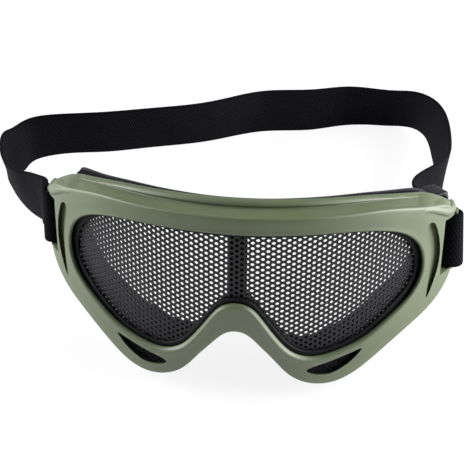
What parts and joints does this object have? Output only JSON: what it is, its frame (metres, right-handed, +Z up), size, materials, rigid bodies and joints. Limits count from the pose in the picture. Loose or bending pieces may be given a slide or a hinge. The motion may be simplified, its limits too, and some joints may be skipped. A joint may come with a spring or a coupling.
{
  "type": "mesh safety goggles",
  "caption": "Wrap-around safety goggles with a perforated mesh lens in a soft moulded frame, a foam face seal and an adjustable elastic strap.",
  "frame": {"origin": "middle of the bounding box at the table, as the goggles stand on their two cheek lobes and the rear lower edge of the strap", "axes": "+Z up from the table; +X to the right of someone who looks at the lens; +Y from the lens towards the strap's back run. The frame leans back by 11.3 degrees about X"},
  "size_m": [0.23, 0.228, 0.0875],
  "materials": {
    "frame_plastic": "soft matte, moulded, muted olive green",
    "mesh_steel": "black paint on perforated steel",
    "edging_rubber": "matte black",
    "ring_plastic": "satin black",
    "foam": "open-cell black foam",
    "fleece": "brushed black fleece",
    "webbing": "woven black elastic",
    "thread": "black polyester thread",
    "adjuster_plastic": "moulded satin black"
  },
  "bodies": {
    "root": {"frame_shell": "frame_plastic", "mesh_lens": "mesh_steel", "lens_edging": "edging_rubber", "lens_retainer": "ring_plastic", "left_vent_foam": "foam", "right_vent_foam": "foam", "face_foam": "foam", "foam_facing": "fleece"},
    "left_loop": {"left_strap_loop": "webbing", "left_loop_stitching": "thread"},
    "strap": {"strap": "webbing"},
    "right_loop": {"right_strap_loop": "webbing"},
    "adjuster": {"adjuster": "adjuster_plastic"}
  },
  "joints": [
    {"name": "left_loop_turn", "type": "hinge", "parent": "root", "child": "left_loop", "pos_m": [-0.07046, -0.05248, 0.0453], "axis": [0, 0.1967, 0.9805], "range_deg": [-54.4, 10]},
    {"name": "left_flex", "type": "hinge", "parent": "left_loop", "child": "strap", "pos_m": [-0.08146, -0.02601, 0.03998], "axis": [0, 0.1967, 0.9805], "range_deg": [-11, 55.4]},
    {"name": "right_flex", "type": "hinge", "parent": "strap", "child": "right_loop", "pos_m": [0.09754, -0.02601, 0.03998], "axis": [0, 0.1967, 0.9805], "range_deg": [-55.4, 11]},
    {"name": "adjuster_slide", "type": "slide", "parent": "right_loop", "child": "adjuster", "axis": [-0.3773, 0.908, -0.1822], "range_m": [-0.003, 0.003]}
  ],
  "couplings": [
    {"joint": "left_flex", "follows": "left_loop_turn", "ratio": -1},
    {"joint": "right_flex", "follows": "left_loop_turn", "ratio": 1}
  ]
}
